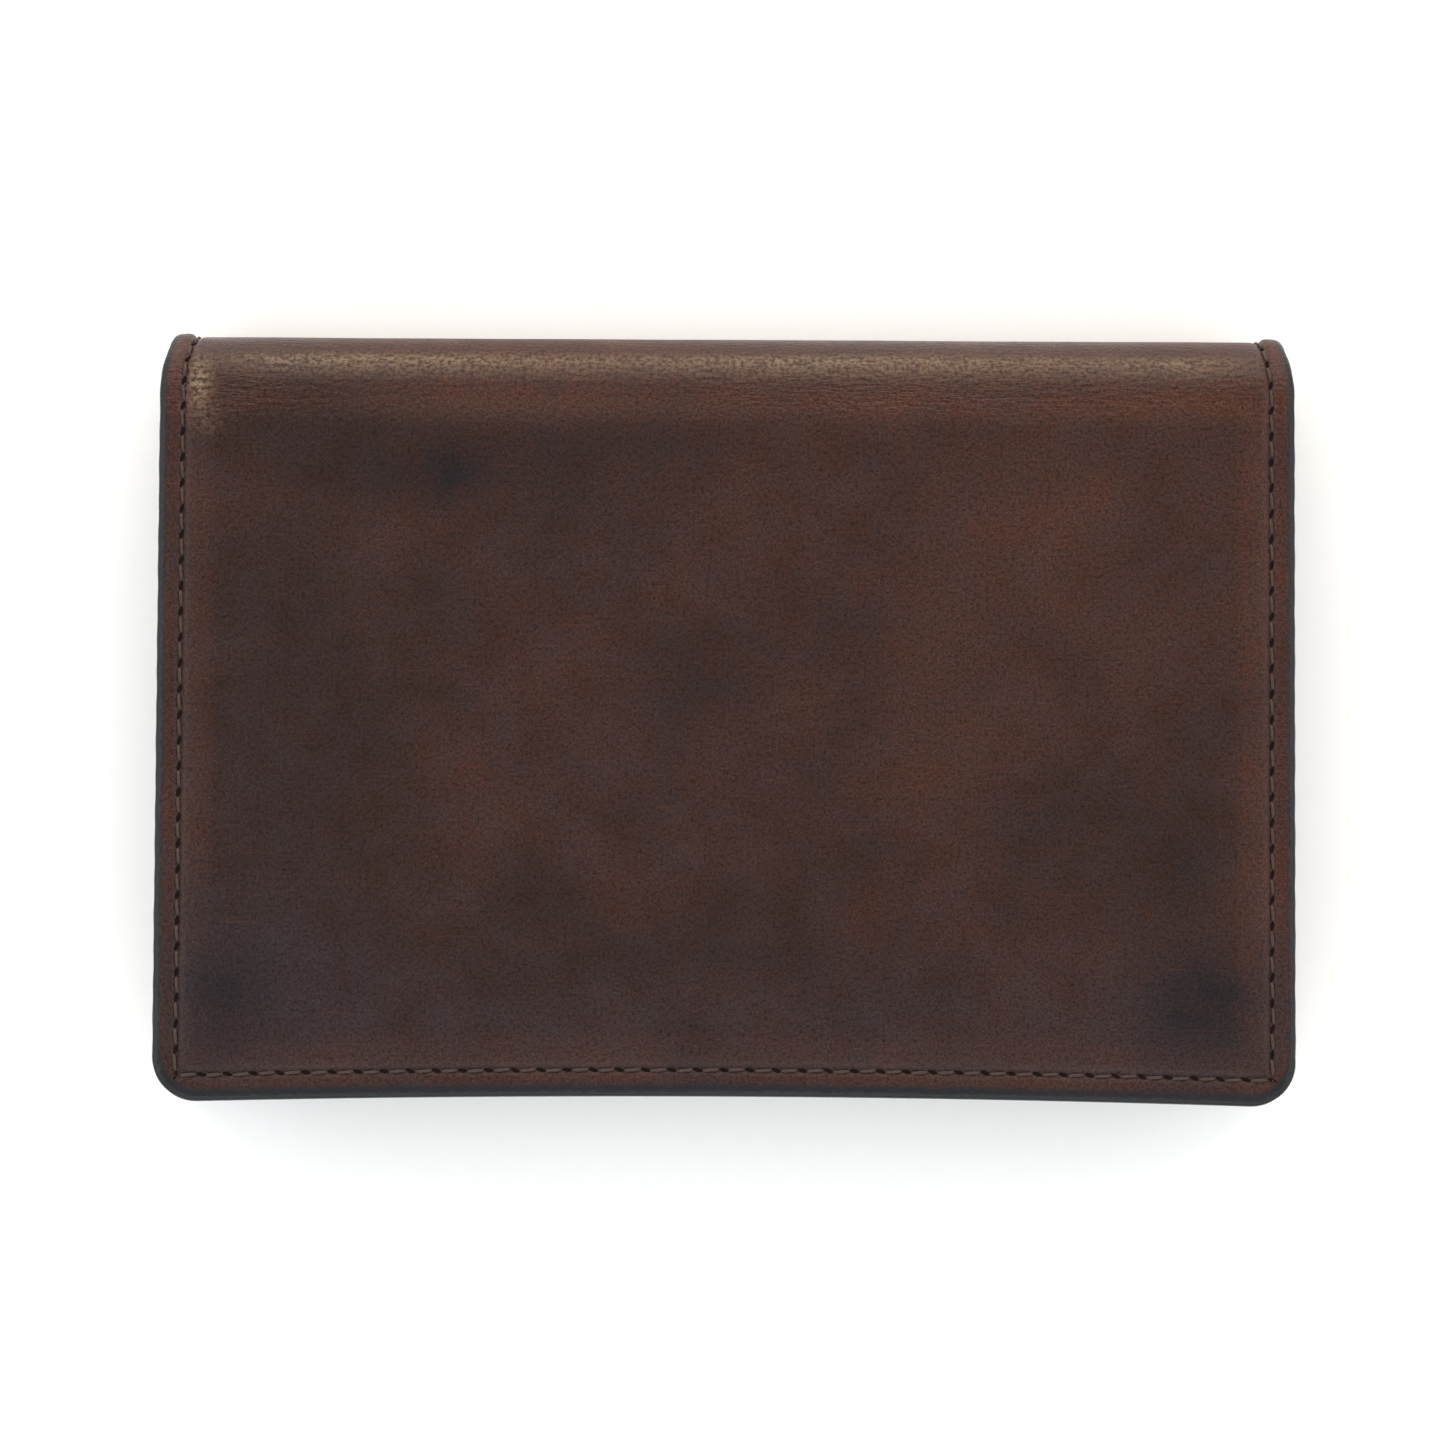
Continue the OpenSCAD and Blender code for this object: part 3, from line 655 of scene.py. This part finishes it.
piece = panel("pocket_skiver", front_insets, pocket_mouth + 0.02, 0.8,
              lambda x, v, d, near: lining_high.z - 0.01 + 0 * x,
              lambda x, v, d, near: lining_low.z + rounded(near, 0.25), flat_at, skiver, True)
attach(piece, "pocket")
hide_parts("pocket_lining")

# Slip pocket on the front, for the cards in use: 0.8 mm calf with a thumb notch punched in its
# painted mouth, so that a card can be pushed out. Its row goes through the front and the gusset.
notch_r = 9.0
notch_depth = 6.0
probe = np.linspace(-14, 14, 561)
notch = np.maximum(np.sqrt(np.clip(notch_r ** 2 - probe ** 2, 0, None)) - notch_r + notch_depth, 0)
# Its shoulders are rounded over 0.7 mm
kernel = np.exp(-(np.linspace(-1.8, 1.8, 73) / 0.7) ** 2)
notch = np.convolve(notch, kernel / kernel.sum(), "same")


def slip_line(x):
    """The slip pocket's mouth, with its notch."""
    return slip_mouth + np.interp(x, probe, notch)


def slip_face(x, v, d, near):
    row = np.minimum(half_w(v) - np.abs(x) - pocket_row, free_v(x) - v - pocket_row)
    return slip_top.z - rounded(near, 0.35) - sunk(row, 0.2, 0.36)


def slip_back(x, v, d, near):
    behind = front_z + 0.02 + slot * ease((d - pocket_inset - slip_border + 0.3) / 0.6)
    return behind + rounded(v - slip_line(x), 0.2)


piece = panel("front_slip_pocket", front_insets, slip_mouth, 0.45, slip_face, slip_back, flat_at,
              pocket_calf, True, slip_line)
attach(piece, "pocket")
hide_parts("slip_pocket")

# Edge paint: a near-black acrylic, rolled on in several coats and heated, that closes the raw edges
# of the layers to one smooth bead. Its tone and gloss waver a little every 2 mm.
edge_colour, tree, out = new_material("edge_paint")
flat = add(tree, "UVMap", uv_map="hide").outputs["UV"]
coats = add(tree, "VectorMath", {0: flat, 1: (1000, 1000, 1000)}, operation="MULTIPLY").outputs[0]
drift = add(tree, "TexNoise", {"Vector": coats, "Scale": 1 / 2.2, "Detail": 3.0, "Roughness": 0.6})
tone = add(tree, "Mix", {0: drift.outputs["Fac"], 6: srgb("#18181a"), 7: srgb("#27272a")}, data_type="RGBA")
gloss = add(tree, "MapRange", {0: drift.outputs["Fac"], 1: 0.3, 2: 0.7, 3: 0.34, 4: 0.48})
ripple = add(tree, "Bump", {"Strength": 0.4, "Distance": 0.00008, "Height": drift.outputs["Fac"]})
bead = add(tree, "BsdfPrincipled", {"Base Color": tone.outputs[2], "Roughness": gloss.outputs[0],
                                    "Normal": ripple.outputs[0]})
tree.links.new(bead.outputs[0], out.inputs["Surface"])
# Across the edge: how far in from it, how deep from the nearer face, and which face
bead_section = [(0.60, 0.08, 0), (0.34, 0.14, 0), (0.16, 0.24, 0), (0.06, 0.36, 0), (0.0, 0.55, 0),
                (-0.03, 0.85, 0), (-0.03, 0.75, 1), (0.0, 0.5, 1), (0.06, 0.3, 1), (0.16, 0.16, 1),
                (0.34, 0.06, 1), (0.60, 0.05, 1)]


def bead_strip(name, lines, upper, lower, place, flip):
    """A bead from its lines: for each point across the edge, the places along it."""
    points, flat = [], []
    for (inset, depth, face), (px, pv) in zip(bead_section, lines):
        thick = upper(pv) - lower(pv)
        depth = np.minimum(depth, thick * 0.5)
        h = lower(pv) + depth if face else upper(pv) - depth
        swell = 0.02 * np.sin(pv * 1.9 + px) + 0.015 * np.sin(px * 2.3 - pv * 0.7)
        run = np.cumsum(np.hypot(np.diff(px, prepend=px[0]), np.diff(pv, prepend=pv[0])))
        points.append(place(px + np.sign(px) * swell * (inset < 0.3), pv, h))
        flat.append(np.stack([run, 0 * run + 0.2 * len(flat)], 1))
    m = len(points[0])
    faces = [(a * m + n, a * m + n + 1, (a + 1) * m + n + 1, (a + 1) * m + n)
             for a in range(len(lines) - 1) for n in range(m - 1)]
    return make_piece(name, np.concatenate(points), faces, np.concatenate(flat), edge_colour, flip)


# Each leaf: its side, the height of the innermost layer and where that begins, and its bend
leaves = (("flap", 1, slip_low.z - margin_z, flap_mouth, ("spine_upper", "flap"), (2, 3)),
          ("back", -1, -(gusset_low.z + gusset_t - crown), pocket_mouth, ("back", "spine_lower"), (0, 1)))
for leaf, side, inner, mouth, bodies, ends in leaves:
    lines = [rim(inset, bend_v, 150, 220) for inset, depth, face in bead_section]
    piece = bead_strip(leaf + "_edge_paint", lines, lambda v: 0 * v,
                       lambda v: -cover_under + (inner + cover_under) * ease((v - mouth) / 0.3 + 0.5),
                       lambda x, v, h: wrap(x, v, h, side), side < 0)
    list(bodies)
    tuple(bend_at[ends[0]])
    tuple(bend_at[ends[1]])
    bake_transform(piece)

for end, way in (("right", 1), ("left", -1)):
    lines = [(way * (half_w(rows) - inset), rows) for inset, depth, face in bead_section]
    piece = bead_strip("spine_edge_paint_" + end, lines, lambda v: 0.3 * (1 - ease((np.abs(v) - 1) / 3.4)),
                       lambda v: -cover_under + 0 * v, lambda x, v, h: wrap(x, v, h, 1), way < 0)
    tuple(bend_at[1])
    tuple(bend_at[2])
    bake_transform(piece)

lines = [rim(inset + pocket_inset, pocket_mouth, 120, 220) for inset, depth, face in bead_section]
piece = bead_strip("pocket_edge_paint", lines,
                   lambda v: front_z + (slip_top.z - front_z) * ease((v - slip_mouth) / 0.3 + 0.5),
                   lambda v: gusset_high.z - gusset_t + 0 * v, flat_at, False)
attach(piece, "pocket")

# Stitching: waxed brown polyester thread, 0.45 mm, lockstitched through slits of a pricking iron
# 2.5 mm apart. Each slit leans across the row, and the thread dives into it and pulls it open.
thread_colour, tree, out = new_material("waxed_thread")
flat = add(tree, "UVMap", uv_map="hide").outputs["UV"]
strand_mm = add(tree, "VectorMath", {0: flat, 1: (1000, 1000, 1000)}, operation="MULTIPLY").outputs[0]
ply = add(tree, "TexWave", {"Vector": strand_mm, "Scale": 0.9, "Distortion": 0.6, "Detail": 1.0},
          wave_type="BANDS", bands_direction="DIAGONAL")
fuzz = add(tree, "TexNoise", {"Vector": strand_mm, "Scale": 5.0, "Detail": 2.0})
mixed = add(tree, "Math", {0: fuzz.outputs["Fac"], 1: 0.7, 2: -0.05}, operation="MULTIPLY_ADD",
            use_clamp=True)
tone = add(tree, "Mix", {0: mixed.outputs[0], 6: srgb("#2a1710"), 7: srgb("#462c20")}, data_type="RGBA")
twist = add(tree, "Bump", {"Strength": 0.6, "Distance": 0.00005, "Height": ply.outputs["Fac"]})
strand = add(tree, "BsdfPrincipled", {"Base Color": tone.outputs[2], "Roughness": 0.55,
                                      "Normal": twist.outputs[0]})
tree.links.new(strand.outputs[0], out.inputs["Surface"])

# Needle slits: flat near-black patches laid in the groove, painted shade for the holes the thread goes into
slit_shade_colour, tree, out = new_material("needle_slit_shade")
depth = add(tree, "TexNoise", {"Scale": 3000.0})
tone = add(tree, "Mix", {0: depth.outputs["Fac"], 6: srgb("#0d0807"), 7: srgb("#1d1311")}, data_type="RGBA")
hole_shade = add(tree, "BsdfPrincipled", {"Base Color": tone.outputs[2], "Roughness": 0.95})
hole_shade.inputs["Specular IOR Level"].default_value = 0.1
tree.links.new(hole_shade.outputs[0], out.inputs["Surface"])

thread_r = 0.2  # the thread is pulled a little thinner than it is on its spool
slit_long = 0.95
slit_wide = 0.40
slit_lean = math.radians(17)
hand = np.random.default_rng(7)  # how far a hand-sewn stitch strays


def sew(name, starts, ends, height, place, flip, slits=None, reach=0.36, rise=0.08):
    """One row: thread from each slit to the next, and the slits, all of them or the ones at the
    stitches named. The thread stops short of a stitch's ends by reach, and its middle stands up by
    rise. Returns the pieces."""
    a, b = np.asarray(starts, float), np.asarray(ends, float)
    middle, lead = (a + b) / 2, b - a
    length = np.hypot(lead[:, 0], lead[:, 1])
    lead = lead / length[:, None]
    aside = np.stack([-lead[:, 1], lead[:, 0]], 1)
    sway = hand.normal(0, 0.035, len(a))
    t = np.linspace(-1, 1, 9)
    turn = np.linspace(0, 2 * math.pi, 8, endpoint=False)
    at = t * (length[:, None] / 2 - reach)
    lean = sway[:, None] - 0.07 * t
    base = height(middle[:, 0], middle[:, 1])[:, None] + rise - 0.30 * np.abs(t) ** 3.5
    girth = thread_r * (1 - 0.18 * t ** 4)
    off = lean[:, :, None] + (girth[:, None] * np.cos(turn))[None]
    up = base[:, :, None] + (girth[:, None] * np.sin(turn))[None] * 0.9
    x = middle[:, 0, None, None] + lead[:, 0, None, None] * at[:, :, None] + aside[:, 0, None, None] * off
    v = middle[:, 1, None, None] + lead[:, 1, None, None] * at[:, :, None] + aside[:, 1, None, None] * off
    count, across, around = len(a), len(t), len(turn)
    one = [(i * around + j, i * around + (j + 1) % around,
            (i + 1) * around + (j + 1) % around, (i + 1) * around + j)
           for i in range(across - 1) for j in range(around)]
    one += [tuple(range(around))[::-1], tuple(range((across - 1) * around, across * around))]
    faces = [tuple(k + s * across * around for k in face) for s in range(count) for face in one]
    # Each stitch takes its twist from another stretch of the thread
    stretch = np.repeat(np.arange(count), across * around) * 3.7
    flat = np.stack([(at[:, :, None] + 0 * off).ravel() + stretch, (thread_r * turn + 0 * off).ravel()], 1)
    made = [make_piece(name + "_thread", place(x.ravel(), v.ravel(), up.ravel()), faces, flat,
                       thread_colour, flip)]
    # The slits: flat dark patches of painted shade at the needle holes
    if slits is None or slits:
        rim_points = 12
        each = rim_points + 1
        tau = np.linspace(0, 2 * math.pi, rim_points, endpoint=False)
        long = slit_long / 2 * np.cos(tau)
        wide = slit_wide / 2 * np.sin(tau) * (1 - 0.35 * np.cos(tau) ** 2)
        holes = np.concatenate([a, b[-1:]]) if slits is None else a[slits]
        way = np.concatenate([lead, lead[-1:]]) if slits is None else lead[slits]
        angle = slit_lean + hand.normal(0, 0.09, len(holes))
        dx = np.cos(angle)[:, None] * long - np.sin(angle)[:, None] * wide
        dy = np.sin(angle)[:, None] * long + np.cos(angle)[:, None] * wide
        sx = holes[:, 0, None] + way[:, 0, None] * dx - way[:, 1, None] * dy
        sv = holes[:, 1, None] + way[:, 1, None] * dx + way[:, 0, None] * dy
        sx, sv = np.column_stack([sx, holes[:, 0]]), np.column_stack([sv, holes[:, 1]])
        h = height(sx.ravel(), sv.ravel()) + 0.035
        faces = [(s * each + j, s * each + (j + 1) % rim_points, s * each + rim_points)
                 for s in range(len(holes)) for j in range(rim_points)]
        flat = np.stack([sx.ravel(), sv.ravel()], 1)
        made.append(make_piece(name + "_slit_shade", place(sx.ravel(), sv.ravel(), h), faces, flat,
                               slit_shade_colour, flip))
    return made


def side_row(inset, top, bottom, count):
    """The needle holes down the right side, and their mirror image up the left."""
    v = np.linspace(top, bottom, count + 1)
    right = np.stack([half_w(v) - inset, v], 1)
    return right, (right * [-1, 1])[::-1]


def free_row(inset_v, half_run, count):
    """The needle holes along the free edge."""
    x = np.linspace(half_run, -half_run, count + 1)
    return np.stack([x, free_v(x) - inset_v], 1)


def row_of(*lines):
    """Starts and ends of the stitches along several lines of holes."""
    return np.concatenate([line[:-1] for line in lines]), np.concatenate([line[1:] for line in lines])


right, left = side_row(row_side, bend_v, side_end, side_count)
starts, ends = row_of(right, free_row(row_free, free_half, free_count), left)


def skin(x, v):
    """The cover's skin at the row, without its edge."""
    return cover_height(x, v, np.full(np.shape(x), row_side))


# Inside, the thread lies flat on the innermost layer and sinks into it a little
sink = 0.06
for leaf, side, inner, mouth, bodies, at_bend in leaves:
    outside = sew(leaf + "_outer", starts, ends, skin, lambda x, v, h: wrap(x, v, h, side), side > 0)
    inside = sew(leaf + "_inner", starts, ends,
                 lambda x, v: cover_under + (-inner - cover_under) * (v > mouth) - sink,
                 lambda x, v, h: wrap(x, v, -h, side), side < 0, slits=[], reach=0.2, rise=0.0)
    for piece in outside + inside:
        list(bodies)
        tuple(bend_at[at_bend[0]])
        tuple(bend_at[at_bend[1]])
        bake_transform(piece)
    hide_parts(leaf + "_stitching")

v = np.linspace(-bend_v, bend_v, spine_count + 1)
right = np.stack([half_w(v) - row_side, v], 1)
starts, ends = row_of(right, (right * [-1, 1])[::-1])
outside = sew("spine_outer", starts, ends, skin, lambda x, v, h: wrap(x, v, h, 1), True, slits=[1, 2, 4, 5])
inside = sew("spine_inner", starts, ends, lambda x, v: cover_under - sink + 0 * x,
             lambda x, v, h: wrap(x, v, -h, 1), False, slits=[], reach=0.2, rise=0.0)
for piece in outside + inside:
    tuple(bend_at[1])
    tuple(bend_at[2])
    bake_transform(piece)
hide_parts("spine_lower_stitching", "spine_upper_stitching")

# The card pocket's rows: one round three sides through the slip pocket, the front and the gusset,
# and one along the front's mouth. The thread shows flat on their inner side.
corner_v = float(free_v(half_free - pocket_row)) - pocket_row
corner_x = float(half_w(corner_v)) - pocket_row
count = round((corner_v - pocket_mouth) / stitch_pitch)
right, left = side_row(pocket_row, pocket_mouth + 0.6, corner_v, count)
starts, ends = row_of(right, free_row(pocket_row, corner_x, round(2 * corner_x / stitch_pitch)), left)


def pocket_skin(x, v):
    """The bottom of the row's groove, in the slip pocket or in the front."""
    return np.where(v > slip_mouth, slip_top.z, front_z) - 0.19


pieces = sew("pocket_outer", starts, ends, pocket_skin, flat_at, True, rise=0.06)
pieces += sew("pocket_inner", starts, ends, lambda x, v: gusset_t - gusset_high.z - sink + 0 * x,
              lambda x, v, h: flat_at(x, v, -h), False, slits=[], reach=0.2, rise=0.0)
half_run = float(half_w(mouth_row)) - pocket_row - 2.4
x = np.linspace(half_run, -half_run, round(2 * half_run / stitch_pitch) + 1)
starts, ends = row_of(np.stack([x, mouth_row + 0 * x], 1))
mouth_pieces = sew("mouth_outer", starts, ends, lambda x, v: front_z - 0.17 + 0 * x, flat_at, True,
                   rise=0.06)
mouth_pieces += sew("mouth_inner", starts, ends, lambda x, v: -lining_low.z - sink + 0 * x,
                    lambda x, v, h: flat_at(x, v, -h), False, slits=[], reach=0.2, rise=0.0)
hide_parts("pocket_stitching")
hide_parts("pocket_mouth_stitching")
for piece in pieces + mouth_pieces:
    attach(piece, "pocket")

# Table: a matt white sheet of card, wide enough to have no edge in sight.
table_card, tree, out = new_material("white_card")
tooth = add(tree, "TexNoise", {"Scale": 1500.0, "Detail": 2.0})
white = add(tree, "Mix", {0: tooth.outputs["Fac"], 6: srgb("#f7f7f6"), 7: srgb("#fafaf9")}, data_type="RGBA")
card_face = add(tree, "BsdfPrincipled", {"Base Color": white.outputs[2], "Roughness": 0.9})
card_face.inputs["Specular IOR Level"].default_value = 0.2
tree.links.new(card_face.outputs[0], out.inputs["Surface"])
wide = 1500
corners = np.array([(-wide, -wide, 0), (wide, -wide, 0), (wide, wide, 0), (-wide, wide, 0)])
table = make_piece("table", corners, [(0, 1, 2, 3)], corners[:, :2], table_card)

# Light: wide, dim softboxes on the table's four sides, the one beyond the fold warmer and stronger
# with a low strip under it, in a pale room. Overhead stays darker, so the leather keeps its depth.
room = bpy.data.worlds.new("room")
room.use_nodes = True
room.node_tree.nodes["Background"].inputs["Color"].default_value = (0.97, 0.985, 1.0, 1.0)
room.node_tree.nodes["Background"].inputs["Strength"].default_value = 0.42
bpy.context.scene.world = room


def softbox(name, where, size, power, tint):
    """A softbox that faces the case: its place and size in metres, its power in watts."""
    lamp = bpy.data.lights.new(name, "AREA")
    lamp.shape = "RECTANGLE"
    lamp.size, lamp.size_y = size
    lamp.energy = power
    lamp.color = tint
    held = bpy.data.objects.new(name, lamp)
    held.location = where
    held.rotation_euler = (-held.location).to_track_quat("-Z", "Y").to_euler()
    bpy.context.scene.collection.objects.link(held)


softbox("window", (0.0, 1.15, 0.7), (2.0, 0.9), 19, (1.0, 0.92, 0.83))
softbox("low_window", (0.0, 1.4, 0.13), (1.8, 0.16), 3, (1.0, 0.9, 0.78))
softbox("left_panel", (-1.15, 0.0, 0.8), (1.6, 0.9), 11, (0.96, 0.98, 1.0))
softbox("right_panel", (1.15, 0.0, 0.8), (1.6, 0.9), 10.5, (1.0, 0.98, 0.95))
softbox("front_panel", (0.0, -1.15, 0.85), (2.0, 0.9), 12.5, (0.93, 0.97, 1.0))

# Camera: straight above the flap, 350 mm from it, with the fold at the top.
camera = bpy.data.objects.new("camera", bpy.data.cameras.new("camera"))
camera.data.sensor_width = 36
camera.data.lens = 90.8
camera.location = (-0.0003, -0.00033, 0.3625)
camera.rotation_euler = (0, 0, math.radians(0.3))
camera.data.clip_start = 0.01
bpy.context.scene.collection.objects.link(camera)
bpy.context.scene.camera = camera
bpy.context.scene.view_settings.view_transform = "Standard"
